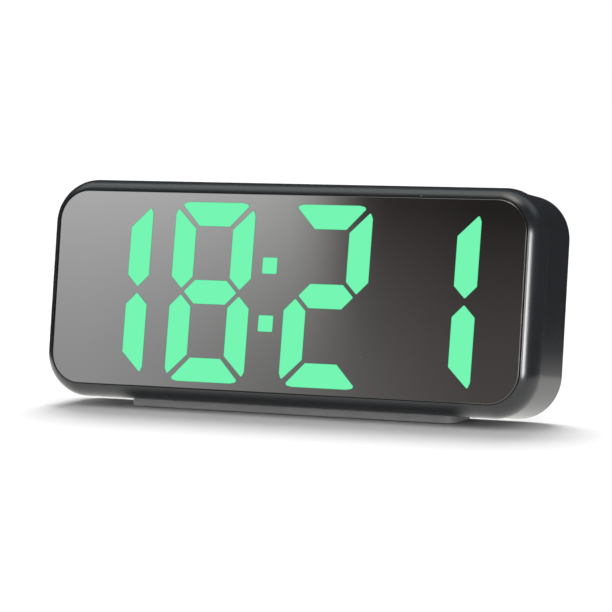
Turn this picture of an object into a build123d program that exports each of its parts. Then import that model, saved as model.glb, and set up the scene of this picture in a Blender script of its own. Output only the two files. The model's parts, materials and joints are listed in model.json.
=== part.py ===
from build123d import *
import math
import os

# LED mirror alarm clock: a slab-shaped case that leans back on a wedge foot.
# The origin is the centre of the rubber pad's underside; +Z is up and the display faces -Y.
# Inside the case a place is given as x to the right, up along the leaning front,
# and depth straight back from the mirror's face.

# ---- case ----
case_width = 160.0
case_height = 65.8
case_depth = 25.3
corner_radius = 13.4
lean_angle = 7.8
side_rim = 4.1
top_rim = 3.9
rim_recess = 0.15
bezel_round = 8.0
bezel_round_start = -1.2  # the round is drawn from this depth and trimmed at the flat rim
bezel_depth = 7.3
shell_inset = 0.5
shell_wall = 1.8
rear_wall = 2.2
rear_round = 0.8
tongue_length = 1.6
tongue_wall = 1.2
case_gap = 0.1

# ---- mirror and display ----
mirror_thickness = 1.8
mirror_gap = 0.1
tape_thickness = 0.2
ledge_width = 1.2
ledge_thickness = 1.4
film_thickness = 0.2
film_gap = 0.1
reflector_depth = 6.0
reflector_side_gap = 2.7
reflector_gap = 0.2
segment_fill = 4.5
board_thickness = 1.2
board_gap = 0.4
digit_width = 26.6
digit_height = 53.4
digit_corner = 3.2
digit_up = -0.3
segment_width = 7.2
segment_gap = 0.9
digit_places = (-57.6, -23.3, 14.7, 48.6)
digit_letters = ("bc", "abcdefg", "abged", "bc")
colon_places = ((-4.3, 8.1), (-4.3, -8.9))
colon_size = 4.9
colon_corner = 0.3
indicator_places = ((67.5, 18.0), (67.5, 0.0), (67.5, -18.0))
indicator_radius = 1.2
led_size = 2.0
led_height = 0.8

# ---- screws ----
screw_radius = 1.0
screw_head_radius = 1.9
screw_head_height = 1.0
screw_hole_gap = 0.15
thread_gap = 0.02
pilot_spare = 0.3
boss_radius = 2.0
tube_radius = 2.8
edge_screw_inset = 5.6
display_screw_up = 21.0
case_screw_up = 11.0
case_screw_seat = 3.0
edge_screw_bite = 3.8

# ---- batteries ----
cell_radius = 5.25
cell_length = 44.5
cell_nub_radius = 1.9
cell_nub_length = 0.8
cell_spacing = 0.5
cell_gap = 0.1
cell_door_gap = 0.35
cell_count = 3
spring_space = 3.8
spring_radius = 3.0
spring_wire = 0.3
spring_pitch = 1.2
plate_thickness = 0.4
plate_size = 8.6
tab_width = 2.4
tab_reach = 1.2
bay_up = -8.0
bay_wall = 1.2
wire_radius = 0.6
wire_run = 4.0
wire_bend = 1.4
wire_drop = 3.0
wire_edge = 3.0

# ---- battery door ----
door_thickness = 1.4
door_lap = 2.0
door_gap = 0.2
door_radius = 1.5
latch_width = 9.0
latch_length = 6.0
latch_slot = 0.8
latch_tab = 1.6

# ---- controls on the back ----
control_board_width = 130.0
control_board_height = 15.6
control_board_corner = 1.0
control_board_space = 4.9
control_up = 21.8
control_screw_places = (-59.0, 37.0, 59.0)
control_post_radius = 2.2
control_screw_bite = 3.6
button_places = (-20.0, -8.0, 4.0, 16.0, 28.0)
button_names = ("mode", "up", "down", "alarm", "brightness")
button_radius = 3.0
button_gap = 0.2
button_proud = 0.9
button_round = 0.4
button_rest_gap = 0.1
flange_lap = 0.6
flange_thickness = 0.6
switch_size = 6.0
switch_corner = 0.5
switch_height = 3.5
switch_well = 1.9
plunger_radius = 1.6
plunger_gap = 0.1
plunger_length = 1.8
knob_x = 46.0
knob_width = 3.0
knob_height = 2.6
knob_travel = 2.0
knob_proud = 0.7
knob_gap = 0.25
knob_corner = 0.5
slider_length = 9.0
slider_height = 4.6
slider_depth = 3.7
slider_wall = 0.5
slider_gap = 0.2
stem_width = 1.6
stem_height = 1.4
usb_x = -46.0
usb_width = 9.0
usb_height = 3.2
usb_wall = 0.3
usb_base = 1.0
usb_setback = 0.5
usb_gap = 0.2
usb_corner = 1.5
usb_tongue_width = 6.6
usb_tongue_thickness = 0.7
usb_tongue_setback = 0.6
microphone_x = -33.5
microphone_radius = 3.0
microphone_height = 2.7
sensor_x = 54.3
sensor_radius = 1.2
sensor_height = 2.4
small_hole_radius = 0.6

# ---- parts on the display board ----
header_place = (-33.0, 25.0)
header_width = 20.3
header_thickness = 2.5
header_height = 2.5
pin_count = 8
pin_pitch = 2.5
pin_size = 0.6
buzzer_place = (52.0, -6.0)
buzzer_radius = 6.0
buzzer_height = 6.5
buzzer_hole_radius = 1.0
buzzer_hole_depth = 1.0
sound_hole_radius = 0.7
sound_hole_ring = 2.6
sound_hole_count = 6
capacitor_place = (42.0, -19.0)
capacitor_radius = 3.15
capacitor_height = 5.4
controller_place = (-44.0, -6.0)
controller_size = 10.0
driver_place = (38.0, 6.0)
driver_width = 4.0
driver_length = 10.0
chip_thickness = 1.4
chip_corner = 0.3
crystal_place = (-44.0, -17.0)
crystal_width = 10.0
crystal_height = 3.6
crystal_thickness = 3.2
resistor_place = (-58.0, -6.0)
resistor_count = 8
resistor_pitch = 2.4
resistor_width = 2.0
resistor_height = 1.25
resistor_thickness = 0.6

# ---- foot and label ----
foot_length = 106.0
foot_front = 8.5
foot_back = 23.6
foot_corner = 3.0
foot_blank = 6.0
rear_clearance = 0.6
pad_thickness = 0.6
pad_proud = 0.3
pad_length = 92.0
pad_width = 9.0
pad_corner = 2.0
pad_gap = 0.1
foot_screw_x = 40.0
foot_screw_seat = 0.45
foot_screw_head = 0.5
foot_screw_bite = 5.0
foot_boss_height = 6.0
foot_boss_radius = 2.4
label_place = (-50.0, -10.0)
label_width = 30.0
label_height = 16.0
label_thickness = 0.1
label_corner = 1.0

# ---- sizes that follow from those above ----
mirror_width = case_width - 2 * side_rim
mirror_height = case_height - 2 * top_rim
mirror_radius = corner_radius - side_rim
tape_back = mirror_thickness + tape_thickness
ledge_back = tape_back + ledge_thickness
window_width = mirror_width - 2 * ledge_width
window_height = mirror_height - 2 * ledge_width
window_radius = mirror_radius - ledge_width
reflector_front = tape_back + film_gap + film_thickness
reflector_width = window_width - 2 * reflector_side_gap
reflector_height = window_height - 2 * reflector_gap
reflector_radius = window_radius - reflector_gap
board_front = reflector_front + reflector_depth
board_back = board_front + board_thickness
segment_back = reflector_front + segment_fill

shell_width = case_width - 2 * shell_inset
shell_height = case_height - 2 * shell_inset
shell_radius = corner_radius - shell_inset
hollow_width = shell_width - 2 * shell_wall
hollow_height = shell_height - 2 * shell_wall
hollow_radius = shell_radius - shell_wall
tongue_width = hollow_width - 2 * case_gap
tongue_height = hollow_height - 2 * case_gap
tongue_radius = hollow_radius - case_gap
tongue_back = bezel_depth + tongue_length
pocket_width = tongue_width - 2 * tongue_wall
pocket_height = tongue_height - 2 * tongue_wall
pocket_radius = tongue_radius - tongue_wall
rear_inside = case_depth - rear_wall

edge_screw_x = case_width / 2 - edge_screw_inset
display_screw_places = [(x, up) for x in (-edge_screw_x, edge_screw_x)
                        for up in (-display_screw_up, display_screw_up)]
case_screw_places = [(x, up) for x in (-edge_screw_x, edge_screw_x)
                     for up in (-case_screw_up, case_screw_up)]
edge_screw_tip = board_front - edge_screw_bite
edge_pilot_end = edge_screw_tip - pilot_spare
case_screw_head = board_back + case_screw_seat
pilot_radius = screw_radius + thread_gap
screw_hole_radius = screw_radius + screw_hole_gap
head_hole_radius = screw_head_radius + screw_hole_gap

door_inside = case_depth - door_thickness
cell_depth = door_inside - cell_door_gap - cell_radius
bay_inside = cell_depth - cell_radius - cell_gap
bay_front = bay_inside - bay_wall
bay_length = cell_length + spring_space + 2 * plate_thickness
cell_pitch = 2 * cell_radius + cell_spacing
bay_height = cell_count * cell_pitch
bay_end = bay_length / 2
cell_ups = [bay_up + cell_pitch * (i - (cell_count - 1) / 2) for i in range(cell_count)]
cell_directions = [1 if i % 2 == 0 else -1 for i in range(cell_count)]
door_width = bay_length + 2 * door_lap
door_height = bay_height + 2 * door_lap
door_top = bay_up + door_height / 2

control_back = rear_inside - control_board_space
control_front = control_back - board_thickness
button_back = case_depth + button_proud
flange_back = rear_inside - button_rest_gap
flange_front = flange_back - flange_thickness
knob_back = case_depth + knob_proud
slider_back = control_back + slider_depth
slider_x = knob_x + knob_travel / 2
usb_back = case_depth - usb_setback

half_shell = shell_height / 2
lean = math.radians(lean_angle)
foot_middle = (foot_front + foot_back) / 2
face_y = half_shell * math.sin(lean) - foot_middle * math.cos(lean)
face_z = rear_clearance + half_shell * math.cos(lean) + case_depth * math.sin(lean)
foot_width = (foot_back - foot_front) * math.cos(lean)

# ---- planes of the leaning case ----
face_centre = Vector(0, face_y, face_z)
forward = Vector(0, -math.cos(lean), math.sin(lean))
upward = Vector(0, math.sin(lean), math.cos(lean))
depth_axis = Axis(face_centre, -forward)
face_plane = Plane(origin=face_centre, x_dir=(1, 0, 0), z_dir=forward)


def layer(depth):
    # a plane parallel to the mirror, in x and up
    return face_plane.offset(-depth)


def side_plane(x):
    # a plane square to the case's length, in depth and up
    return Plane(origin=face_centre + Vector(x, 0, 0), x_dir=-forward, z_dir=(1, 0, 0))


def level_plane(up):
    # a plane parallel to the case's underside, in x and depth
    return Plane(origin=face_centre + upward * up, x_dir=(1, 0, 0), z_dir=upward)


def slab(width, height, radius, front, back, places=((0, 0),), mode=Mode.ADD):
    # a rounded rectangle between two depths, at each place
    with BuildSketch(layer(back)) as outline:
        with Locations(*places):
            RectangleRounded(width, height, radius)
    extrude(outline.sketch, amount=back - front, mode=mode)


def block(width, height, front, back, places=((0, 0),), mode=Mode.ADD):
    # a square-cornered rectangle between two depths, at each place
    with BuildSketch(layer(back)) as outline:
        with Locations(*places):
            Rectangle(width, height)
    extrude(outline.sketch, amount=back - front, mode=mode)


def disc(radius, front, back, places=((0, 0),), mode=Mode.ADD):
    # a cylinder between two depths, at each place
    with BuildSketch(layer(back)) as outline:
        with Locations(*places):
            Circle(radius)
    extrude(outline.sketch, amount=back - front, mode=mode)


def save(piece, name):
    piece.part.label = name
    export_step(piece.part, f"parts/{name}.step")


os.makedirs("parts", exist_ok=True)

# ---- outlines of the seven segments, about the digit's centre ----
half_digit = digit_width / 2
tall_digit = digit_height / 2
half_segment = segment_width / 2
mitre = segment_gap / math.sqrt(2)
inner_x = half_digit - segment_width
middle_x = half_digit - half_segment


def mirrored(points, across, down):
    return [(x * across, up * down) for x, up in points]


top_outline = [(-half_digit + mitre, tall_digit), (half_digit - mitre, tall_digit),
               (inner_x - mitre, tall_digit - segment_width),
               (-inner_x + mitre, tall_digit - segment_width)]
side_outline = [(half_digit, tall_digit - mitre), (inner_x, tall_digit - segment_width - mitre),
                (inner_x, half_segment + mitre), (middle_x, mitre),
                (half_digit, half_segment + mitre)]
middle_outline = [(middle_x - mitre, 0), (inner_x - mitre, half_segment),
                  (-inner_x + mitre, half_segment), (-middle_x + mitre, 0),
                  (-inner_x + mitre, -half_segment), (inner_x - mitre, -half_segment)]
segment_outlines = {
    "a": top_outline,
    "b": side_outline,
    "c": mirrored(side_outline, 1, -1),
    "d": mirrored(top_outline, 1, -1),
    "e": mirrored(side_outline, -1, -1),
    "f": mirrored(side_outline, -1, 1),
    "g": middle_outline,
}
segment_centres = {
    "a": (0, tall_digit - half_segment),
    "b": (middle_x, tall_digit / 2),
    "c": (middle_x, -tall_digit / 2),
    "d": (0, half_segment - tall_digit),
    "e": (-middle_x, -tall_digit / 2),
    "f": (-middle_x, tall_digit / 2),
    "g": (0, 0),
}


def draw_digit(letters, x):
    # the named segments of one digit, trimmed to its rounded outer corners
    with BuildSketch(Plane.XY) as digit:
        for letter in letters:
            Polygon(*segment_outlines[letter], align=None)
        RectangleRounded(digit_width, digit_height, digit_corner, mode=Mode.INTERSECT)
    with Locations((x, digit_up)):
        add(digit.sketch)


def draw_lit():
    for letters, x in zip(digit_letters, digit_places):
        draw_digit(letters, x)
    with Locations(*colon_places):
        RectangleRounded(colon_size, colon_size, colon_corner)


def draw_unlit():
    for letters, x in zip(digit_letters, digit_places):
        dark = [letter for letter in segment_outlines if letter not in letters]
        if dark:
            draw_digit(dark, x)
    with Locations(*indicator_places):
        Circle(indicator_radius)


# ---- front bezel: a rounded frame with the mirror's seat, a ledge and a tongue ----
with BuildPart() as front_bezel:
    slab(case_width, case_height, corner_radius, bezel_round_start, bezel_depth)
    front_face = front_bezel.faces().sort_by(depth_axis)[0]
    fillet(front_face.edges(), bezel_round)
    slab(case_width, case_height, corner_radius, bezel_round_start, rim_recess, mode=Mode.SUBTRACT)
    slab(tongue_width, tongue_height, tongue_radius, bezel_depth, tongue_back)
    slab(mirror_width + 2 * mirror_gap, mirror_height + 2 * mirror_gap, mirror_radius + mirror_gap,
         0, tape_back, mode=Mode.SUBTRACT)
    slab(window_width, window_height, window_radius, 0, ledge_back, mode=Mode.SUBTRACT)
    slab(pocket_width, pocket_height, pocket_radius, ledge_back, tongue_back, mode=Mode.SUBTRACT)
    disc(boss_radius, ledge_back, board_front, display_screw_places + case_screw_places)
    disc(pilot_radius, edge_pilot_end, board_front, display_screw_places + case_screw_places,
         mode=Mode.SUBTRACT)
save(front_bezel, "front_bezel")

# ---- mirror and the tape ring that holds it ----
with BuildPart() as mirror_panel:
    slab(mirror_width, mirror_height, mirror_radius, 0, mirror_thickness)
save(mirror_panel, "mirror_panel")

with BuildPart() as mirror_tape:
    slab(mirror_width, mirror_height, mirror_radius, mirror_thickness, tape_back)
    slab(window_width, window_height, window_radius, mirror_thickness, tape_back, mode=Mode.SUBTRACT)
save(mirror_tape, "mirror_tape")

# ---- light box: film, reflector with a cavity for each segment, and the resin in them ----
with BuildPart() as diffuser_film:
    slab(reflector_width, reflector_height, reflector_radius,
         reflector_front - film_thickness, reflector_front)
save(diffuser_film, "diffuser_film")

with BuildPart() as display_reflector:
    slab(reflector_width, reflector_height, reflector_radius, reflector_front, board_front)
    with BuildSketch(layer(board_front)):
        draw_lit()
        draw_unlit()
    extrude(amount=reflector_depth, mode=Mode.SUBTRACT)
save(display_reflector, "display_reflector")

with BuildPart() as lit_segments:
    with BuildSketch(layer(segment_back)):
        draw_lit()
    extrude(amount=segment_fill)
save(lit_segments, "lit_segments")

with BuildPart() as unlit_segments:
    with BuildSketch(layer(segment_back)):
        draw_unlit()
    extrude(amount=segment_fill)
save(unlit_segments, "unlit_segments")

# ---- display board, its light sources and screws ----
with BuildPart() as display_board:
    slab(pocket_width - 2 * board_gap, pocket_height - 2 * board_gap, pocket_radius - board_gap,
         board_front, board_back)
    disc(screw_hole_radius, board_front, board_back, display_screw_places + case_screw_places,
         mode=Mode.SUBTRACT)
save(display_board, "display_board")

led_places = [(x + segment_centres[letter][0], digit_up + segment_centres[letter][1])
              for x in digit_places for letter in segment_outlines]
with BuildPart() as led_chips:
    block(led_size, led_size, board_front - led_height, board_front, led_places + list(colon_places))
    block(led_size / 2, led_size / 2, board_front - led_height, board_front, indicator_places)
save(led_chips, "led_chips")

with BuildPart() as display_screws:
    disc(screw_radius, edge_screw_tip, board_back, display_screw_places)
    disc(screw_head_radius, board_back, board_back + screw_head_height, display_screw_places)
save(display_screws, "display_screws")

# ---- parts on the back of the display board ----
with BuildPart() as controller_chip:
    slab(controller_size, controller_size, chip_corner, board_back, board_back + chip_thickness,
         [controller_place])
save(controller_chip, "controller_chip")

with BuildPart() as driver_chip:
    slab(driver_width, driver_length, chip_corner, board_back, board_back + chip_thickness,
         [driver_place])
save(driver_chip, "driver_chip")

with BuildPart() as crystal:
    slab(crystal_width, crystal_height, crystal_height / 3, board_back,
         board_back + crystal_thickness, [crystal_place])
save(crystal, "crystal")

resistor_places = [(resistor_place[0], resistor_place[1] + resistor_pitch * (i - resistor_count / 2))
                   for i in range(resistor_count)]
with BuildPart() as chip_resistors:
    block(resistor_width, resistor_height, board_back, board_back + resistor_thickness,
          resistor_places)
save(chip_resistors, "chip_resistors")

with BuildPart() as capacitor:
    disc(capacitor_radius, board_back, board_back + capacitor_height, [capacitor_place])
save(capacitor, "capacitor")

buzzer_back = board_back + buzzer_height
with BuildPart() as buzzer:
    disc(buzzer_radius, board_back, buzzer_back, [buzzer_place])
    disc(buzzer_hole_radius, buzzer_back - buzzer_hole_depth, buzzer_back, [buzzer_place],
         mode=Mode.SUBTRACT)
save(buzzer, "buzzer")

# ---- header that joins the two boards ----
header_back = board_back + header_height
socket_front = control_front - header_height
with BuildPart() as board_header:
    block(header_width, header_thickness, board_back, header_back, [header_place])
save(board_header, "board_header")

with BuildPart() as board_socket:
    block(header_width, header_thickness, socket_front, control_front, [header_place])
save(board_socket, "board_socket")

pin_places = [(header_place[0] + pin_pitch * (i - (pin_count - 1) / 2), header_place[1])
              for i in range(pin_count)]
with BuildPart() as header_pins:
    block(pin_size, pin_size, header_back, socket_front, pin_places)
save(header_pins, "header_pins")

# ---- control board at the back, its screws and fixed parts ----
control_places = [(x, control_up) for x in control_screw_places]
with BuildPart() as control_board:
    slab(control_board_width, control_board_height, control_board_corner,
         control_front, control_back, [(0, control_up)])
    disc(screw_hole_radius, control_front, control_back, control_places, mode=Mode.SUBTRACT)
save(control_board, "control_board")

control_screw_tip = control_back + control_screw_bite
with BuildPart() as control_screws:
    disc(screw_head_radius, control_front - screw_head_height, control_front, control_places)
    disc(screw_radius, control_front, control_screw_tip, control_places)
save(control_screws, "control_screws")

with BuildPart() as microphone:
    disc(microphone_radius, control_back, control_back + microphone_height,
         [(microphone_x, control_up)])
save(microphone, "microphone")

with BuildPart() as temperature_sensor:
    disc(sensor_radius, control_back, control_back + sensor_height, [(sensor_x, control_up)])
save(temperature_sensor, "temperature_sensor")

usb_places = [(usb_x, control_up)]
with BuildPart() as usb_shell:
    slab(usb_width, usb_height, usb_corner, control_back, usb_back, usb_places)
    slab(usb_width - 2 * usb_wall, usb_height - 2 * usb_wall, usb_corner - usb_wall,
         control_back + usb_base, usb_back, usb_places, mode=Mode.SUBTRACT)
save(usb_shell, "usb_shell")

with BuildPart() as usb_tongue:
    block(usb_tongue_width, usb_tongue_thickness, control_back + usb_base,
          usb_back - usb_tongue_setback, usb_places)
save(usb_tongue, "usb_tongue")

# ---- five push buttons: a switch on the board, its plunger and the cap in the rear wall ----
switch_back = control_back + switch_height
for button_name, button_x in zip(button_names, button_places):
    place = [(button_x, control_up)]
    with BuildPart() as switch_body:
        slab(switch_size, switch_size, switch_corner, control_back, switch_back, place)
        disc(plunger_radius + plunger_gap, switch_back - switch_well, switch_back, place,
             mode=Mode.SUBTRACT)
    save(switch_body, f"switch_{button_name}")

    with BuildPart() as plunger:
        disc(plunger_radius, flange_front - plunger_length, flange_front, place)
    save(plunger, f"plunger_{button_name}")

    with BuildPart() as button_cap:
        disc(button_radius, flange_front, button_back, place)
        cap_face = button_cap.faces().sort_by(depth_axis)[-1]
        fillet(cap_face.edges(), button_round)
        disc(button_radius + flange_lap, flange_front, flange_back, place)
    save(button_cap, f"button_{button_name}")

# ---- slide switch and its knob, which starts at the left end of its travel ----
slider_places = [(slider_x, control_up)]
knob_places = [(knob_x, control_up)]
slide_space = knob_travel + 2 * slider_gap
slot_length = stem_width + slide_space
slot_height = stem_height + 2 * slider_gap
slider_hollow = slider_back - slider_wall
foot_plate_width = slider_length - 2 * slider_wall - slide_space
foot_plate_height = slider_height - 2 * slider_wall - 2 * slider_gap
foot_plate_front = control_back + slider_wall + slider_gap
foot_plate_back = slider_hollow - slider_gap
knob_front = slider_back + knob_gap
with BuildPart() as slider_body:
    block(slider_length, slider_height, control_back, slider_back, slider_places)
    block(slider_length - 2 * slider_wall, slider_height - 2 * slider_wall,
          control_back + slider_wall, slider_hollow, slider_places, mode=Mode.SUBTRACT)
    block(slot_length, slot_height, slider_hollow, slider_back, slider_places, mode=Mode.SUBTRACT)
save(slider_body, "slider_body")

with BuildPart() as slider_knob:
    block(foot_plate_width, foot_plate_height, foot_plate_front, foot_plate_back, knob_places)
    block(stem_width, stem_height, foot_plate_back, knob_front, knob_places)
    slab(knob_width, knob_height, knob_corner, knob_front, knob_back, knob_places)
save(slider_knob, "slider_knob")

# ---- rear shell with screw tubes, board posts, battery bay and all rear openings ----
knob_slot_width = knob_width + knob_travel + 2 * knob_gap
knob_slot_height = knob_height + 2 * knob_gap
sound_holes = [(buzzer_place[0] + sound_hole_ring * math.cos(2 * math.pi * i / sound_hole_count),
                buzzer_place[1] + sound_hole_ring * math.sin(2 * math.pi * i / sound_hole_count))
               for i in range(sound_hole_count)]
latch_places = [(0, door_top + latch_tab / 2)]
bay_places = [(0, bay_up)]
tab_slot_depth = plate_thickness + 2 * cell_gap
tab_slot_width = tab_width + 2 * cell_gap
tab_places = [(cell_directions[0], cell_ups[0]), (-cell_directions[-1], cell_ups[-1])]
foot_hole_end = -half_shell + shell_wall + foot_screw_bite + pilot_spare
with BuildPart() as rear_shell:
    slab(shell_width, shell_height, shell_radius, bezel_depth, case_depth)
    rear_face = rear_shell.faces().sort_by(depth_axis)[-1]
    fillet(rear_face.edges(), rear_round)
    slab(hollow_width, hollow_height, hollow_radius, bezel_depth, rear_inside, mode=Mode.SUBTRACT)
    disc(tube_radius, board_back, rear_inside, case_screw_places)
    disc(screw_hole_radius, board_back, case_screw_head, case_screw_places, mode=Mode.SUBTRACT)
    disc(head_hole_radius, case_screw_head, case_depth, case_screw_places, mode=Mode.SUBTRACT)
    disc(control_post_radius, control_back, rear_inside, control_places)
    disc(pilot_radius, control_back, control_screw_tip + pilot_spare, control_places,
         mode=Mode.SUBTRACT)
    # bay for the cells, open to the back, and the door's rebate
    block(bay_length + 2 * bay_wall, bay_height + 2 * bay_wall, bay_front, rear_inside, bay_places)
    block(bay_length, bay_height, bay_inside, case_depth, bay_places, mode=Mode.SUBTRACT)
    slab(door_width + 2 * door_gap, door_height + 2 * door_gap, door_radius + door_gap,
         door_inside, case_depth, bay_places, mode=Mode.SUBTRACT)
    slab(latch_width + 2 * latch_slot, latch_tab + 2 * latch_slot, latch_slot,
         door_inside, case_depth, latch_places, mode=Mode.SUBTRACT)
    for side, up in tab_places:
        block(bay_wall, tab_slot_width, cell_depth - tab_slot_depth / 2,
              cell_depth + tab_slot_depth / 2, [(side * (bay_end + bay_wall / 2), up)],
              mode=Mode.SUBTRACT)
    # openings for the controls
    disc(button_radius + button_gap, rear_inside, case_depth,
         [(x, control_up) for x in button_places], mode=Mode.SUBTRACT)
    slab(knob_slot_width, knob_slot_height, knob_corner, rear_inside, case_depth, slider_places,
         mode=Mode.SUBTRACT)
    slab(usb_width + 2 * usb_gap, usb_height + 2 * usb_gap, usb_corner + usb_gap,
         rear_inside, case_depth, usb_places, mode=Mode.SUBTRACT)
    disc(small_hole_radius, rear_inside, case_depth,
         [(microphone_x, control_up), (sensor_x, control_up)], mode=Mode.SUBTRACT)
    disc(sound_hole_radius, rear_inside, case_depth, sound_holes + [buzzer_place],
         mode=Mode.SUBTRACT)
    # bosses for the foot's screws
    with BuildSketch(level_plane(-half_shell + shell_wall)) as foot_bosses:
        with Locations((-foot_screw_x, foot_middle), (foot_screw_x, foot_middle)):
            Circle(foot_boss_radius)
    extrude(foot_bosses.sketch, amount=foot_boss_height)
    with BuildSketch(level_plane(-half_shell)) as foot_holes:
        with Locations((-foot_screw_x, foot_middle), (foot_screw_x, foot_middle)):
            Circle(pilot_radius)
    extrude(foot_holes.sketch, amount=foot_hole_end + half_shell, mode=Mode.SUBTRACT)
save(rear_shell, "rear_shell")

with BuildPart() as case_screws:
    disc(screw_radius, edge_screw_tip, case_screw_head, case_screw_places)
    disc(screw_head_radius, case_screw_head, case_screw_head + screw_head_height, case_screw_places)
save(case_screws, "case_screws")

with BuildPart() as rating_label:
    slab(label_width, label_height, label_corner, case_depth, case_depth + label_thickness,
         [label_place])
save(rating_label, "rating_label")

# ---- three cells in series, each turned the other way round ----
cell_body_length = cell_length - cell_nub_length
for i in range(cell_count):
    direction = cell_directions[i]
    tail_x = -direction * (bay_end - plate_thickness - spring_space)
    shoulder_x = tail_x + direction * cell_body_length
    with BuildPart() as battery_cell:
        with BuildSketch(side_plane(tail_x)) as can:
            with Locations((cell_depth, cell_ups[i])):
                Circle(cell_radius)
        extrude(can.sketch, amount=direction * cell_body_length)
        with BuildSketch(side_plane(shoulder_x)) as nub:
            with Locations((cell_depth, cell_ups[i])):
                Circle(cell_nub_radius)
        extrude(nub.sketch, amount=direction * cell_nub_length)
    save(battery_cell, f"battery_cell_{i + 1}")

# each negative end has a coil spring on its contact plate
spring_length = spring_space - 2 * spring_wire - 2 * cell_gap
with BuildPart() as battery_springs:
    for i in range(cell_count):
        direction = cell_directions[i]
        start_x = -direction * (bay_end - plate_thickness - spring_wire - cell_gap)
        start = face_centre + Vector(start_x, 0, 0) + upward * cell_ups[i] - forward * cell_depth
        with BuildLine() as coil:
            Helix(spring_pitch, spring_length, spring_radius, center=start,
                  direction=(direction, 0, 0))
        with BuildSketch(Plane(origin=coil.line @ 0, z_dir=coil.line % 0)) as wire_section:
            Circle(spring_wire)
        sweep(wire_section.sketch, path=coil.line, is_frenet=True)
save(battery_springs, "battery_springs")

# two link plates join neighbouring cells; two end plates carry the solder tabs
plate_front = cell_depth - plate_size / 2
plate_back = cell_depth + plate_size / 2
plate_x = bay_end - plate_thickness / 2
with BuildPart() as contact_plates:
    for i in range(cell_count - 1):
        link_x = -cell_directions[i] * plate_x
        link_up = (cell_ups[i] + cell_ups[i + 1]) / 2
        block(plate_thickness, plate_size + cell_pitch, plate_front, plate_back, [(link_x, link_up)])
    for side, up in tab_places:
        block(plate_thickness, plate_size, plate_front, plate_back, [(side * plate_x, up)])
        block(bay_wall + tab_reach, tab_width, cell_depth - plate_thickness / 2,
              cell_depth + plate_thickness / 2,
              [(side * (bay_end + (bay_wall + tab_reach) / 2), up)])
save(contact_plates, "contact_plates")

# a wire from each solder tab up to the front of the control board
with BuildPart() as battery_wires:
    for side, up in tab_places:
        tab_end = bay_end + bay_wall + tab_reach
        board_edge = control_up - control_board_height / 2
        route = [(tab_end, up, cell_depth), (tab_end + wire_run, up, cell_depth),
                 (tab_end + wire_run, up, control_front - wire_drop),
                 (tab_end + wire_run, board_edge + wire_edge, control_front - wire_drop),
                 (tab_end + wire_run, board_edge + wire_edge, control_front)]
        points = [face_centre + Vector(side * x, 0, 0) + upward * rise - forward * depth
                  for x, rise, depth in route]
        with BuildLine() as wire_path:
            FilletPolyline(*points, radius=wire_bend)
        with BuildSketch(Plane(origin=wire_path.line @ 0, z_dir=wire_path.line % 0)) as section:
            Circle(wire_radius)
        sweep(section.sketch, path=wire_path.line)
save(battery_wires, "battery_wires")

# ---- battery door: pivots about its lower outer edge, with a spring latch at the top ----
finger_up = door_top - latch_length / 2
slot_x = latch_width / 2 + latch_slot / 2
with BuildPart() as battery_door:
    slab(door_width, door_height, door_radius, door_inside, case_depth, bay_places)
    block(latch_slot, latch_length, door_inside, case_depth,
          [(-slot_x, finger_up), (slot_x, finger_up)], mode=Mode.SUBTRACT)
    block(latch_width, latch_tab, door_inside, case_depth, latch_places)
save(battery_door, "battery_door")

# ---- wedge foot, its screws and its rubber pad ----
underside = level_plane(-half_shell)
seat_plane = level_plane(-half_shell - foot_screw_seat)
foot_screw_points = [(-foot_screw_x, foot_middle), (foot_screw_x, foot_middle)]
with BuildPart() as wedge_foot:
    with BuildSketch(Plane.XY.offset(pad_proud)):
        RectangleRounded(foot_length, foot_width, foot_corner)
    extrude(amount=foot_blank)
    split(bisect_by=underside, keep=Keep.BOTTOM)
    with BuildSketch(Plane.XY.offset(pad_proud)):
        RectangleRounded(pad_length + 2 * pad_gap, pad_width + 2 * pad_gap, pad_corner + pad_gap)
    extrude(amount=pad_thickness - pad_proud, mode=Mode.SUBTRACT)
    with BuildSketch(underside) as shank_holes:
        with Locations(*foot_screw_points):
            Circle(screw_hole_radius)
    extrude(shank_holes.sketch, amount=-foot_blank, mode=Mode.SUBTRACT)
    with BuildSketch(seat_plane) as head_holes:
        with Locations(*foot_screw_points):
            Circle(head_hole_radius)
    extrude(head_holes.sketch, amount=-foot_blank, mode=Mode.SUBTRACT)
save(wedge_foot, "wedge_foot")

with BuildPart() as foot_screws:
    with BuildSketch(seat_plane) as shanks:
        with Locations(*foot_screw_points):
            Circle(screw_radius)
    extrude(shanks.sketch, amount=foot_screw_seat + shell_wall + foot_screw_bite)
    with BuildSketch(seat_plane) as heads:
        with Locations(*foot_screw_points):
            Circle(screw_head_radius)
    extrude(heads.sketch, amount=-foot_screw_head)
save(foot_screws, "foot_screws")

with BuildPart() as foot_pad:
    with BuildSketch(Plane.XY):
        RectangleRounded(pad_length, pad_width, pad_corner)
    extrude(amount=pad_thickness)
save(foot_pad, "foot_pad")
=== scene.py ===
import bmesh
import bpy
import json
import math
import numpy as np
from mathutils import Matrix, Vector

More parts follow.
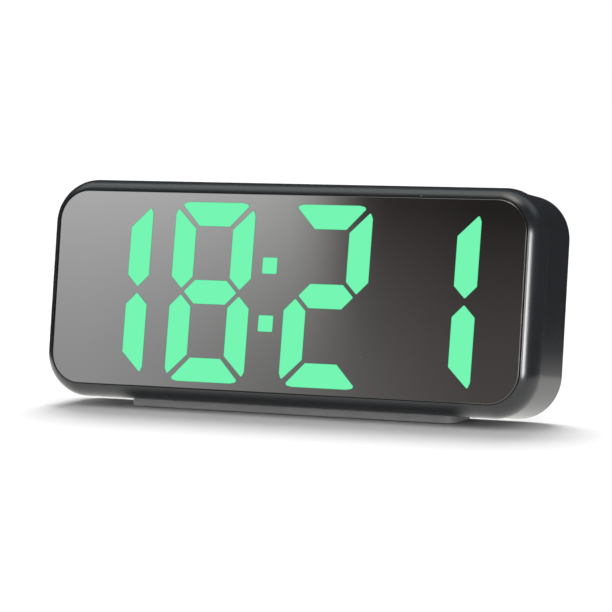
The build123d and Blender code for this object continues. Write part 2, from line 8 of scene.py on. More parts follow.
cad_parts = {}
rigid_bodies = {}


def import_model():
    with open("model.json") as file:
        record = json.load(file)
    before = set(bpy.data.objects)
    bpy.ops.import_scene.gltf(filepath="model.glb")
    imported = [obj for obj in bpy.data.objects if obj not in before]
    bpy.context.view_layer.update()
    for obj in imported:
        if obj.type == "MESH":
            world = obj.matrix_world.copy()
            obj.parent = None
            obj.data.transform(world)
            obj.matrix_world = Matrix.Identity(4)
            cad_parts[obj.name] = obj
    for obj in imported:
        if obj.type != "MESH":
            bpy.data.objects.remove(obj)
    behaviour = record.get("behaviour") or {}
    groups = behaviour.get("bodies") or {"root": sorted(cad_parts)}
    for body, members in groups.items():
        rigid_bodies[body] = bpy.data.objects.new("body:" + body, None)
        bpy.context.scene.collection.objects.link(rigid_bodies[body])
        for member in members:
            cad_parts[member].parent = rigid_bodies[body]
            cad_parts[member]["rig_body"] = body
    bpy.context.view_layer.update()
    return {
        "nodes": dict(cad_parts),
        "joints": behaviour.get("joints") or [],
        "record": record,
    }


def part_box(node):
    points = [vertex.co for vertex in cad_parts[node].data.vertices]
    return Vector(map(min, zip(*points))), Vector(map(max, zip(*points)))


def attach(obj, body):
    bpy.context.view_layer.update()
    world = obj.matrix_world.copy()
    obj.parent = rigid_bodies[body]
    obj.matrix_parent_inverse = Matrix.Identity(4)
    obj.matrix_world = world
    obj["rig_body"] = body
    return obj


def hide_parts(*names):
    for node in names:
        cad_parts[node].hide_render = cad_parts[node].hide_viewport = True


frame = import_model()
nodes = frame["nodes"]
slotOfNode = {part["node"]: part["material_slot"] for part in frame["record"]["subparts"]}
mm = 0.001
print("frame loaded:", len(nodes), "nodes")

# The case leans back: forward is the way a pressed button moves, and the mirror's box gives
# its centre, height and thickness.
jointByName = {joint["name"]: joint for joint in frame["joints"]}
forward = np.array(jointByName["press_mode"]["axis"])
forward = forward / np.linalg.norm(forward)
backward = -forward
rightward = np.array([1.0, 0.0, 0.0])
upward = np.cross(forward, rightward)
mirrorLow, mirrorHigh = (np.array(corner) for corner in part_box("mirror_panel"))
mirrorBox = mirrorHigh - mirrorLow
leanTurn = np.array([[forward[2], upward[2]], [-forward[1], upward[1]]])
mirrorThickness, mirrorHeight = np.linalg.solve(leanTurn, [mirrorBox[2], mirrorBox[1]])
mirrorWidth = mirrorBox[0]
faceCentre = (mirrorLow + mirrorHigh) / 2 + forward * mirrorThickness / 2
print("mirror", round(mirrorWidth / mm, 2), round(mirrorHeight / mm, 2), round(mirrorThickness / mm, 2))


def inCase(x, up, depth):
    # place = face centre + x right + up the leaning front + depth straight back, in metres
    x, up, depth = (np.asarray(value, dtype=float)[..., None] for value in (x, up, depth))
    return faceCentre + x * rightward + up * upward + depth * backward


def meshFromGrid(name, grid, closed=True, capStart=False, capEnd=False, sharpAngle=38, edge=None):
    # a grid of points (around, along) becomes quads; closed joins the last row round to the
    # first, and a cap is one flat face over the first or last ring
    around, along = grid.shape[:2]
    index = np.arange(around * along).reshape(around, along)
    rows = np.vstack([index, index[:1]]) if closed else index
    quads = np.stack([rows[:-1, :-1], rows[1:, :-1], rows[1:, 1:], rows[:-1, 1:]], -1).reshape(-1, 4)
    faces = quads.tolist()
    if capStart:
        faces.append(index[::-1, 0].tolist())
    if capEnd:
        faces.append(index[:, -1].tolist())
    mesh = bpy.data.meshes.new(name)
    mesh.from_pydata(grid.reshape(-1, 3).tolist(), [], faces)
    mesh.polygons.foreach_set("use_smooth", np.ones(len(faces), dtype=bool))
    if edge is not None:
        store = mesh.attributes.new("edge", "FLOAT", "POINT")
        store.data.foreach_set("value", np.broadcast_to(edge, (around, along)).reshape(-1).astype(float))
    mesh.update()
    mesh.set_sharp_from_angle(angle=math.radians(sharpAngle))
    piece = bpy.data.objects.new(name, mesh)
    bpy.context.scene.collection.objects.link(piece)
    return piece


def roundedRing(width, height, radius, insets, depths, cornerSteps=24, sideSteps=10):
    # a profile carried round a rounded rectangle:
    # ring(angle, inset) = corner centre + (radius - inset) * (cos angle, sin angle)
    turn = np.linspace(0, math.pi / 2, cornerSteps + 1)
    angle = np.concatenate([turn + quarter * math.pi / 2 for quarter in range(4)])
    corner = np.repeat(np.arange(4), cornerSteps + 1)
    signX = np.array([1, -1, -1, 1])[corner]
    signUp = np.array([1, 1, -1, -1])[corner]
    reach = radius - np.asarray(insets, dtype=float)
    x = (signX * (width / 2 - radius))[:, None] + np.cos(angle)[:, None] * reach
    up = (signUp * (height / 2 - radius))[:, None] + np.sin(angle)[:, None] * reach
    # straight sides get extra stations between one corner's last point and the next one's first
    share = np.linspace(0, 1, sideSteps + 1)[1:-1, None]
    stretchX, stretchUp = [], []
    for quarter in range(4):
        own = slice(quarter * (cornerSteps + 1), (quarter + 1) * (cornerSteps + 1))
        after = ((quarter + 1) % 4) * (cornerSteps + 1)
        stretchX += [x[own], x[own][-1] * (1 - share) + x[after] * share]
        stretchUp += [up[own], up[own][-1] * (1 - share) + up[after] * share]
    x, up = np.concatenate(stretchX), np.concatenate(stretchUp)
    return inCase(x, up, np.broadcast_to(np.asarray(depths, dtype=float), x.shape))


def roundedPolygon(corners, radius, rings, cornerSteps=6):
    # a convex outline with round corners, and rings inside it:
    # ring(angle, reach) = corner centre + reach * (cos angle, sin angle), the centres standing
    # one radius inside both edges that meet at the corner
    corners = np.asarray(corners, dtype=float)
    edges = np.roll(corners, -1, 0) - corners
    if (corners[:, 0] * np.roll(corners, -1, 0)[:, 1]
            - np.roll(corners, -1, 0)[:, 0] * corners[:, 1]).sum() < 0:
        return roundedPolygon(corners[::-1], radius, rings, cornerSteps)
    normals = np.stack([edges[:, 1], -edges[:, 0]], -1) / np.linalg.norm(edges, axis=1)[:, None]
    before = np.roll(normals, 1, 0)
    middle = (normals + before) / (1 + (normals * before).sum(1))[:, None]
    centres = corners - middle * radius
    start = np.arctan2(before[:, 1], before[:, 0])
    sweep = np.mod(np.arctan2(normals[:, 1], normals[:, 0]) - start + math.pi, 2 * math.pi) - math.pi
    angle = start[:, None] + sweep[:, None] * np.linspace(0, 1, cornerSteps + 1)
    out = np.stack([np.cos(angle), np.sin(angle)], -1).reshape(-1, 1, 2)
    reach = np.asarray(rings, dtype=float)[None, :, None]
    return np.repeat(centres, cornerSteps + 1, 0)[:, None, :] + out * reach


class Value:
    # one shader value; sums and products of values add the Math nodes for them
    def __init__(self, finish, socket):
        self.finish = finish
        self.socket = socket

    def __add__(self, other):
        return self.finish.maths("ADD", self, other)

    def __sub__(self, other):
        return self.finish.maths("SUBTRACT", self, other)

    def __rsub__(self, other):
        return self.finish.maths("SUBTRACT", other, self)

    def __mul__(self, other):
        return self.finish.maths("MULTIPLY", self, other)

    def __truediv__(self, other):
        return self.finish.maths("DIVIDE", self, other)

    def __gt__(self, other):
        return self.finish.maths("GREATER_THAN", self, other)

    def __lt__(self, other):
        return self.finish.maths("LESS_THAN", self, other)

    def __abs__(self):
        return self.finish.maths("ABSOLUTE", self)

    __radd__ = __add__
    __rmul__ = __mul__


class Finish:
    # builds one material (or the world) from expressions
    def __init__(self, owner, output="ShaderNodeOutputMaterial"):
        owner.use_nodes = True
        self.owner = owner
        self.tree = owner.node_tree
        self.tree.nodes.clear()
        self.output = self.tree.nodes.new(output)

    def node(self, kind, settings=None, sockets=None, out=0):
        made = self.tree.nodes.new(kind)
        for key, value in (settings or {}).items():
            if key == "stops":
                ramp = made.color_ramp
                while len(ramp.elements) < len(value):
                    ramp.elements.new(0.5)
                for element, (position, colour) in zip(ramp.elements, value):
                    element.position = position
                    element.color = (*colour, 1)
            else:
                setattr(made, key, value)
        for key, value in (sockets or {}).items():
            if isinstance(value, Value):
                self.tree.links.new(value.socket, made.inputs[key])
            elif value is not None:
                made.inputs[key].default_value = value
        return Value(self, made.outputs[out])

    def maths(self, operation, *values):
        return self.node("ShaderNodeMath", {"operation": operation}, dict(enumerate(values)))

    def smooth(self, value, low, high):
        # 0 below low, 1 above high, with a soft step between
        return self.node("ShaderNodeMapRange", {"interpolation_type": "SMOOTHSTEP"},
                         {"Value": value, "From Min": low, "From Max": high})

    def clamped(self, value):
        # the value kept between 0 and 1
        return self.node("ShaderNodeClamp", None, {0: value})

    def mixColour(self, mask, low, high):
        # low where the mask is 0, high where it is 1
        low = low if isinstance(low, Value) else (*low, 1)
        high = high if isinstance(high, Value) else (*high, 1)
        return self.node("ShaderNodeMix", {"data_type": "RGBA"}, {0: mask, 6: low, 7: high}, 2)

    def place(self):
        return self.node("ShaderNodeTexCoord", out=3)

    def noise(self, scale, detail=2.0, roughness=0.5, stretch=None):
        where = self.place()
        if stretch:
            where = self.node("ShaderNodeMapping", None, {"Vector": where, "Scale": stretch})
        return self.node("ShaderNodeTexNoise", None,
                         {"Vector": where, "Scale": scale, "Detail": detail, "Roughness": roughness})

    def specks(self, scale, size, share):
        # small round specks in some of the cells of a cell pattern
        sockets = {"Vector": self.place(), "Scale": scale}
        near = self.node("ShaderNodeTexVoronoi", None, sockets)
        cell = self.node("ShaderNodeTexVoronoi", None, sockets, out=1)
        lottery = self.node("ShaderNodeSeparateColor", None, {0: cell})
        return (near < size) * (lottery > 1 - share)

    def bump(self, height, strength, distance, under=None):
        return self.node("ShaderNodeBump", None, {"Height": height, "Strength": strength,
                                                  "Distance": distance, "Normal": under})

    def surface(self, **sockets):
        names = {"color": "Base Color", "roughness": "Roughness", "metallic": "Metallic",
                 "normal": "Normal", "specular": "Specular IOR Level",
                 "emission": "Emission Color", "emissionStrength": "Emission Strength"}
        made = {names[key]: value for key, value in sockets.items()}
        if isinstance(made.get("Base Color"), tuple):
            made["Base Color"] = (*made["Base Color"], 1)
        shader = self.node("ShaderNodeBsdfPrincipled", None, made)
        self.tree.links.new(shader.socket, self.output.inputs["Surface"])
        return self.owner


def newFinish(name):
    return Finish(bpy.data.materials.new(name))


casePlastic = {"color": (0.021, 0.0235, 0.027), "worn": (0.045, 0.049, 0.055), "roughness": 0.24,
               "grainSize": 4200, "grainDepth": 0.000010, "dustShare": 0.03}


def mouldedPlastic(name, look):
    # semi-gloss moulding: fine grain, slow mottling, faint rubbed patches, a little dust, and a
    # painted highlight, a paler line along the parting seam where the edge value is set
    finish = newFinish(name)
    grain = finish.noise(look["grainSize"], 3.0, 0.6)
    mottle = finish.noise(55, 4.0, 0.55)
    rubbed = finish.smooth(finish.noise(130, 5.0, 0.65, (1.0, 1.0, 2.4)), 0.58, 0.75)
    hairs = finish.smooth(finish.noise(900, 2.0, 0.5, (0.04, 0.3, 1.0)), 0.69, 0.74)
    dust = finish.specks(420, 0.07, look["dustShare"])
    edge = finish.node("ShaderNodeAttribute", {"attribute_name": "edge"}, None, 2)
    tone = finish.mixColour(mottle * 0.22 + rubbed * 0.05, look["color"], look["worn"])
    # painted highlight: where the edge value is 1 (the bezel's parting seam) the tone turns paler, standing
    # in for light caught along the seam
    tone = finish.mixColour(edge * (0.25 + mottle * 0.5), tone, (0.10, 0.105, 0.11))
    tone = finish.mixColour(dust * 0.5, tone, (0.42, 0.42, 0.41))
    rough = look["roughness"] + (mottle - 0.5) * 0.05 + rubbed * 0.03 + hairs * 0.02 + dust * 0.3
    height = grain * 0.8 + hairs * -0.1 + dust * 1.2
    return finish.surface(color=tone, roughness=rough,
                          normal=finish.bump(height, 0.35, look["grainDepth"]))


def satinPlastic(name, color, roughness=0.45, grainSize=2600, depth=0.00002, specular=0.5):
    # matt moulding with spark-eroded grain
    finish = newFinish(name)
    grain = finish.noise(grainSize, 3.0, 0.65)
    mottle = finish.noise(160, 3.0, 0.5)
    lighter = tuple(channel * 1.6 + 0.004 for channel in color)
    tone = finish.mixColour(mottle * 0.5 + grain * 0.2, color, lighter)
    return finish.surface(color=tone, roughness=roughness + (mottle - 0.5) * 0.14, specular=specular,
                          normal=finish.bump(grain, 0.5, depth))


def metalFinish(name, color, roughness=0.28, stretch=(0.05, 1.0, 1.0)):
    # drawn or plated metal: fine lines along one way, faint tarnish
    finish = newFinish(name)
    lines = finish.noise(5200, 2.0, 0.5, stretch)
    tarnish = finish.smooth(finish.noise(240, 4.0, 0.6), 0.45, 0.8)
    dull = tuple(channel * 0.62 for channel in color)
    return finish.surface(color=finish.mixColour(tarnish * 0.6 + lines * 0.15, color, dull),
                          metallic=1.0, roughness=roughness + lines * 0.14 + tarnish * 0.12,
                          normal=finish.bump(lines, 0.25, 0.000008))


mirrorLook = {"color": (0.43, 0.43, 0.432), "roughness": 0.018, "haze": 0.035}


def halfMirror(name, look):
    # dark half-silvered panel: clean reflection, wiping haze and very few dust specks
    finish = newFinish(name)
    wipe = finish.smooth(finish.noise(26, 4.0, 0.6, (1.0, 1.0, 2.2)), 0.45, 0.8)
    dust = finish.specks(260, 0.035, 0.04)
    tone = finish.mixColour(wipe * 0.05 + dust * 0.25, look["color"], (0.50, 0.50, 0.49))
    return finish.surface(color=tone, metallic=1.0,
                          roughness=look["roughness"] + wipe * look["haze"] + dust * 0.4)


digitLook = {"color": (0.178, 0.9216, 0.451), "rim": (0.022, 0.20, 0.085), "rimStart": 0.35}


def glowingDigit(name, look):
    # evenly lit green resin whose outline darkens towards its very edge
    finish = newFinish(name)
    edge = finish.node("ShaderNodeAttribute", {"attribute_name": "edge"}, None, 2)
    grain = finish.noise(700, 2.0, 0.5)
    rim = finish.smooth(edge, look["rimStart"], 1.0)
    glow = finish.mixColour(rim, look["color"], look["rim"])
    glow = finish.mixColour((grain - 0.5) * 0.05 * (1 - rim), glow, (0.25, 1.0, 0.55))
    return finish.surface(color=(0.0, 0.0, 0.0), roughness=0.6, specular=0.0,
                          emission=glow, emissionStrength=1.0)


def boardFinish(name, color):
    # solder mask with faint traces and a woven laminate under it
    finish = newFinish(name)
    weave = finish.noise(1500, 2.0, 0.4, (1.0, 0.2, 1.0))
    traces = finish.smooth(abs(finish.noise(190, 0.0, 0.3, (1.0, 1.0, 3.0)) - 0.5), 0.012, 0.004)
    tone = finish.mixColour(traces * 0.5, color, tuple(channel * 1.9 for channel in color))
    return finish.surface(color=tone, roughness=0.32 + weave * 0.12,
                          normal=finish.bump(traces + weave * 0.2, 0.4, 0.00003))


jacketLook = {"wrap": (0.018, 0.019, 0.021), "copper": (0.55, 0.24, 0.09), "band": 11.8, "blur": 0.4}


def jacketFinish(name, look, low, high):
    # plain cell jacket: dark wrap with a copper band at the contact end, which is the end
    # that stands further from the bay's middle; reach = distance along x towards that end
    finish = newFinish(name)
    side = 1.0 if low + high > 0 else -1.0
    end = max(abs(low), abs(high)) - look["band"] * mm
    reach = finish.node("ShaderNodeSeparateXYZ", None, {0: finish.place()}) * side
    band = finish.smooth(reach, end, end + look["blur"] * mm)
    scuff = finish.smooth(finish.noise(600, 4.0, 0.6, (0.2, 1.0, 1.0)), 0.58, 0.72)
    tone = finish.mixColour(band, look["wrap"], look["copper"])
    tone = finish.mixColour(scuff * 0.25, tone, (0.35, 0.35, 0.34))
    return finish.surface(color=tone, metallic=0.6, roughness=0.3 + scuff * 0.2)


def rubberFinish(name, color):
    # matt rubber with a pebbled skin
    finish = newFinish(name)
    pebble = finish.noise(1800, 3.0, 0.7)
    bloom = finish.smooth(finish.noise(300, 4.0, 0.6), 0.4, 0.75)
    return finish.surface(color=finish.mixColour(bloom * 0.4, color, (0.06, 0.06, 0.058)),
                          roughness=0.72 + bloom * 0.15, specular=0.3,
                          normal=finish.bump(pebble, 0.7, 0.00006))


def labelFinish(name):
    # blank silver-grey film with a fine frosted grain
    finish = newFinish(name)
    frost = finish.noise(3600, 2.0, 0.6)
    age = finish.smooth(finish.noise(140, 4.0, 0.6), 0.4, 0.8)
    return finish.surface(color=finish.mixColour(age * 0.5, (0.19, 0.195, 0.20), (0.13, 0.135, 0.14)),
                          roughness=0.42 + frost * 0.15, normal=finish.bump(frost, 0.3, 0.00001))


camera = {"azimuth": 26.1, "elevation": 4.66, "distance": 0.8764, "right": -0.00734, "down": -0.00358,
          "lens": 176.47, "sensor": 36.0}


def makeCamera(view):
    # looks level with the case's middle from the right; right and down say where the mirror's
    # centre stands off the middle of the view
    turn, rise = math.radians(view["azimuth"]), math.radians(view["elevation"])
    away = np.array([math.sin(turn) * math.cos(rise), -math.cos(turn) * math.cos(rise), math.sin(rise)])
    right = np.cross(-away, [0, 0, 1])
    right = right / np.linalg.norm(right)
    up = np.cross(right, -away)
    place = faceCentre - (view["right"] * right - view["down"] * up - view["distance"] * away)
    lens = bpy.data.cameras.new("camera")
    lens.lens, lens.sensor_width = view["lens"], view["sensor"]
    lens.clip_start, lens.clip_end = 0.01, 50
    eye = bpy.data.objects.new("camera", lens)
    turned = Matrix((right, up, away)).transposed().to_4x4()
    turned.translation = Vector(place)
    eye.matrix_world = turned
    bpy.context.scene.collection.objects.link(eye)
    bpy.context.scene.camera = eye


# near, reach, footX, footY and the under-case value shape the painted floor reflection: a glowing sheet with
# a painted shadow under the case
studio = {"white": 1.0, "fill": 0.60, "dark": (0.024, 0.024, 0.026), "overhead": (1.05, 1.15, 1.15),
          "floor": (0.93, 0.93, 0.93), "near": (1.3, 1.29, 1.24), "underCaseShadow": 0.92, "reach": (0.12, 0.245),
          "strip": (5.8, 5.5, 4.8),
          "footX": ((-0.058, -0.050), (0.053, 0.061)), "footY": (-0.022, -0.013),
          "high": ((0.06, (0.947, 0.947, 0.947)), (0.22, (0.92, 0.92, 0.92)), (0.43, (0.82, 0.82, 0.81)),
                   (0.49, (0.74, 0.74, 0.73)), (0.54, (0.58, 0.57, 0.56)), (0.60, (0.27, 0.262, 0.255)),
                   (0.65, (0.10, 0.09, 0.087)), (0.70, (0.062, 0.054, 0.052)),
                   (0.92, (0.037, 0.032, 0.031))),
          "low": ((0.06, (0.60, 0.60, 0.60)), (0.22, (0.515, 0.513, 0.51)), (0.38, (0.38, 0.377, 0.37)),
                  (0.54, (0.283, 0.277, 0.267)), (0.70, (0.20, 0.188, 0.182)), (0.80, (0.168, 0.153, 0.147)),
                  (0.92, (0.138, 0.124, 0.119)))}


# Where things stand in the glossy room, as direction components: each pair is a soft edge.
sheet = {"rise": (0.45, 0.80), "near": (0.0, 0.12), "far": (0.44, 0.58)}
screen = {"left": -0.511, "width": 0.137, "slope": 0.0475, "bottom": 0.1535, "height": 0.065,
          "curve": 1.4, "front": (0.55, 0.72), "top": (0.27, 0.45), "right": (-0.35, -0.25)}
overheadStrip = {"turn": (0.86, 0.5), "start": (-0.50, 0.0), "end": (0.16, 0.40), "rise": (0.5, 0.8),
                 "half": (0.05, 0.24)}


def makeWorld(look):
    # white to the eye and a soft fill for the matt parts; what glossy parts see is a dark room
    # with a wide screen to the left of the camera, a pale sheet overhead and a warm strip there
    world = bpy.data.worlds.new("studio")
    bpy.context.scene.world = world
    sky = Finish(world, "ShaderNodeOutputWorld")
    way = sky.node("ShaderNodeTexCoord")
    x, y, z = (sky.node("ShaderNodeSeparateXYZ", None, {0: way}, axis) for axis in range(3))
    ceiling = sky.smooth(z, *sheet["rise"]) * sky.smooth(y, *sheet["near"])
    ceiling = ceiling * (1 - sky.smooth(y, *sheet["far"]))
    room = sky.mixColour(ceiling, look["dark"], look["overhead"])
    # across runs 0 to 1 from the screen's left end to its right one, and rise from bottom to top
    across = (x - screen["left"]) / screen["width"]
    above = z - x * screen["slope"] - screen["bottom"]
    rise = sky.maths("POWER", sky.clamped(above / screen["height"]), screen["curve"])
    high = sky.node("ShaderNodeValToRGB", {"stops": look["high"]}, {0: across})
    low = sky.node("ShaderNodeValToRGB", {"stops": look["low"]}, {0: across})
    extent = sky.smooth(y * -1.0, *screen["front"]) * (1 - sky.smooth(z, *screen["top"]))
    extent = extent * (1 - sky.smooth(x, *screen["right"]))
    room = sky.mixColour(extent, room, sky.mixColour(rise, low, high))
    turnCos, turnSin = overheadStrip["turn"]
    along, aside = x * turnCos - y * turnSin, x * turnSin + y * turnCos
    strip = sky.smooth(along, *overheadStrip["start"]) * (1 - sky.smooth(along, *overheadStrip["end"]))
    strip = strip * sky.smooth(z, *overheadStrip["rise"])
    strip = strip * (1 - sky.smooth(abs(aside), *overheadStrip["half"]))
    room = sky.mixColour(strip, room, look["strip"])
    eye = sky.node("ShaderNodeLightPath", None, None, 0)
    glossy = sky.node("ShaderNodeLightPath", None, None, 3)
    plain = sky.mixColour(eye, (look["fill"],) * 3, (look["white"],) * 3)
    colour = sky.mixColour(glossy, plain, room)
    light = sky.node("ShaderNodeBackground", None, {"Color": colour, "Strength": 1.0})
    sky.tree.links.new(light.socket, sky.output.inputs["Surface"])


def stagePlane(name, size, height, finish):
    # a level square sheet, point(u, v) = (u, v, height)
    line = np.linspace(-size, size, 5)
    grid = np.stack([*np.meshgrid(line, line, indexing="ij"), np.full((5, 5), height)], -1)
    sheet = meshFromGrid(name, grid, closed=False)
    sheet.data.materials.append(finish)
    return sheet


def floorFinish(look):
    paper = newFinish("paperFloor")
    tooth = paper.noise(900, 2.0, 0.5)
    return paper.surface(color=paper.mixColour(tooth * 0.02, look["floor"], (0.85, 0.85, 0.85)),
                         roughness=0.9, specular=0.0)


def paintedFloorReflection(look):
    # painted reflection of the floor for glossy parts: a glowing sheet, bright close by, with a
    # painted shadow under the case where the foot stands, and fading out further off
    paper = newFinish("nearFloor")
    distance = paper.node("ShaderNodeVectorMath", {"operation": "LENGTH"}, {0: paper.place()}, 1)
    x, y = (paper.node("ShaderNodeSeparateXYZ", None, {0: paper.place()}, axis) for axis in range(2))
    left, right = look["footX"]
    # painted shadow: the patch under the case, from the front of the foot back and between the foot's ends
    under = paper.smooth(y, *look["footY"]) * paper.smooth(x, *left) * (1 - paper.smooth(x, *right))
    # the glow stands in for the light on the floor; the under-case value darkens it into the painted shadow
    glow = (1 - paper.smooth(distance, *look["reach"])) * (1 - under * look["underCaseShadow"])
    return paper.surface(color=(0.0, 0.0, 0.0), roughness=0.9, specular=0.0, emissionStrength=1.0,
                         emission=paper.mixColour(glow, look["dark"], look["near"]))


softbox = {"place": (0.953, -0.643, 0.1), "aim": (0, 0, 0.036), "size": (0.28, 0.36), "power": 10.44}


def sideStrip(look):
    # a tall panel to the right that draws the highlight down the case's side; in reflections only
    lamp = bpy.data.lights.new("sideStrip", "AREA")
    lamp.shape = "RECTANGLE"
    lamp.size, lamp.size_y = look["size"]
    lamp.energy = look["power"]
    place = Vector(look["place"])
    turn = (Vector(look["aim"]) - place).to_track_quat("-Z", "Y")
    holder = bpy.data.objects.new("sideStrip", lamp)
    holder.matrix_world = Matrix.Translation(place) @ turn.to_matrix().to_4x4()
    holder.visible_diffuse = False
    bpy.context.scene.collection.objects.link(holder)


sun = {"azimuth": 206.1, "elevation": 56.0, "angle": 32.0, "strength": 2.45}


def backLight(look):
    # one broad soft light from behind and above, which throws the shadow towards the camera
    turn, rise = math.radians(look["azimuth"]), math.radians(look["elevation"])
    away = Vector((math.sin(turn) * math.cos(rise), -math.cos(turn) * math.cos(rise), math.sin(rise)))
    lamp = bpy.data.lights.new("backLight", "SUN")
    lamp.energy = look["strength"]
    lamp.angle = math.radians(look["angle"])
    holder = bpy.data.objects.new("backLight", lamp)
    holder.matrix_world = away.to_track_quat("Z", "Y").to_matrix().to_4x4()
    holder.visible_glossy = False
    bpy.context.scene.collection.objects.link(holder)


makeCamera(camera)
makeWorld(studio)
floor = stagePlane("floor", 6.0, 0.0, floorFinish(studio))
floor.visible_glossy = False
# a glowing sheet on the floor, seen only in reflections: painted reflection of the lit floor, with a painted
# shadow under the case
nearFloor = stagePlane("nearFloor", 0.5, 0.0, paintedFloorReflection(studio))
nearFloor.visible_camera = False
nearFloor.visible_diffuse = False
nearFloor.visible_shadow = False
nearFloor.visible_transmission = False
sideStrip(softbox)
backLight(sun)
print("stage set")


bezel = {"width": 160.0, "height": 65.8, "corner": 13.4, "round": 8.0, "roundStart": -1.2, "rim": 0.15,
         "seat": 4.0, "seatDepth": 2.0, "ledge": 5.3, "ledgeDepth": 3.4, "parting": 7.3,
         "edge": 0.10, "groove": 0.25, "witness": 0.35,
         "tongueOuter": 2.4, "tongueInner": 3.6, "tongueDepth": 8.9, "lipDepth": 0.5, "lipFacing": 0.96}


def makeBezel(size):
    # profile: a groove at the parting seam, up the side, round a quarter arc cut off at the flat
    # rim, over the rim, down the mirror's seat, over the ledge and back along the tongue
    # arc: inset = round * (1 - cos t), depth = roundStart + round * (1 - sin t)
    start = math.asin(1 - (size["rim"] - size["roundStart"]) / size["round"])
    arc = np.linspace(0, start, 26)
    arcInset = size["round"] * (1 - np.cos(arc))
    arcDepth = size["roundStart"] + size["round"] * (1 - np.sin(arc))
    crest = arcInset[-1]
    edge = size["edge"]
    lip = np.linspace(0, 1, 4)
    insets = np.concatenate([[size["groove"], 0.0, 0.0], arcInset[:-1],
                             crest + edge * lip, size["seat"] - edge * lip[::-1],
                             [size["seat"], size["ledge"], size["ledge"], size["tongueInner"],
                              size["tongueInner"], size["tongueOuter"], size["tongueOuter"]]])
    rim = size["rim"]
    seam = size["parting"] - size["groove"]
    depths = np.concatenate([[size["parting"], seam, seam - size["witness"]], arcDepth[:-1],
                             rim + edge * 0.5 * (1 - lip) ** 2, rim + edge * 0.5 * lip ** 2,
                             [size["seatDepth"], size["seatDepth"], size["ledgeDepth"],
                              size["ledgeDepth"], size["tongueDepth"], size["tongueDepth"],
                              size["parting"]]])
    ring = roundedRing(size["width"] * mm, size["height"] * mm, size["corner"] * mm,
                       insets * mm, depths * mm)
    ring = np.concatenate([ring, ring[:, :1]], 1)
    # the edge value marks the parting seam's column, which the bezel's finish paints as a pale highlight
    # line
    piece = meshFromGrid("bezelFrame", ring, sharpAngle=32,
                         edge=(np.arange(ring.shape[1]) == 1).astype(float))
    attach(piece, "case")
    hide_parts("front_bezel")
    return piece


def lipFaces(piece):
    # the faces of the narrow flat lip and of the mirror's seat, which stand in the mirror's gap and get the
    # near-black painted shade
    count = len(piece.data.polygons)
    middle, facing = np.empty(count * 3), np.empty(count * 3)
    piece.data.polygons.foreach_get("center", middle)
    piece.data.polygons.foreach_get("normal", facing)
    depth = (middle.reshape(-1, 3) - faceCentre) @ backward
    straight = facing.reshape(-1, 3) @ forward > bezel["lipFacing"]
    inward = -((middle.reshape(-1, 3) - faceCentre) * facing.reshape(-1, 3)).sum(1) > 0
    return (straight & (depth < bezel["lipDepth"] * mm)) | (inward & (depth < bezel["ledgeDepth"] * mm))


bezelFrame = makeBezel(bezel)
bezelFrame.data.materials.append(mouldedPlastic("bezelPlastic", casePlastic))
# painted shade: the lip and the seat in the mirror's gap are made near-black and matt, standing in for the
# shaded gap
bezelFrame.data.materials.append(satinPlastic("gapPaintedShade", (0.004, 0.0042, 0.0045), 0.7, specular=0.15))
bezelFrame.data.polygons.foreach_set("material_index", lipFaces(bezelFrame).astype(np.int32))
print("bezel made")


mirrorEdge = {"corner": 9.3, "chamfer": 0.13, "polish": (0.15, 0.155, 0.155), "flatFacing": 0.97}


def makeMirror(size):
    # a flat plate: front face, polished chamfer, side and back, as rings of one outline
    c = size["chamfer"]
    insets = np.array([c, 0.0, 0.0]) * mm
    depths = np.array([0.0, c * mm, mirrorThickness])
    ring = roundedRing(mirrorWidth, mirrorHeight, size["corner"] * mm, insets, depths, 32, 2)
    piece = meshFromGrid("mirrorPlate", ring, capStart=True, capEnd=True, sharpAngle=25)
    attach(piece, "case")
    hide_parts("mirror_panel")
    return piece


def polishedEdge(name, look):
    finish = newFinish(name)
    chips = finish.smooth(finish.noise(1400, 3.0, 0.6), 0.6, 0.75)
    return finish.surface(color=finish.mixColour(chips * 0.5, look["polish"], (0.09, 0.09, 0.095)),
                          metallic=0.7, roughness=0.22 + chips * 0.2)


mirrorPlate = makeMirror(mirrorEdge)
mirrorPlate.data.materials.append(halfMirror("halfMirror", mirrorLook))
mirrorPlate.data.materials.append(polishedEdge("polishedEdge", mirrorEdge))
facing = np.empty(len(mirrorPlate.data.polygons) * 3)
mirrorPlate.data.polygons.foreach_get("normal", facing)
flat = np.abs(facing.reshape(-1, 3) @ forward) > mirrorEdge["flatFacing"]
mirrorPlate.data.polygons.foreach_set("material_index", np.where(flat, 0, 1).astype(np.int32))
print("mirror made")


digits = {"width": 26.6, "height": 53.4, "up": -0.35, "stroke": 7.2, "gap": 1.15, "round": 0.45,
          "places": (-57.65, -23.4, 14.55, 48.5), "letters": ("bc", "abcdefg", "abged", "bc"),
          "colon": ((-4.3, 8.1), (-4.3, -8.9)), "colonSize": 4.9, "lift": 0.035, "thickness": 0.02,
          "rim": 0.22, "slant": 0.0165, "barEnd": ((4.5, 0.0), (2.8, 0.35), (2.25, 1.05)), "barInner": 8.2,
          "sideEnd": ((0.8, 1.9), (0.0, 3.8))}


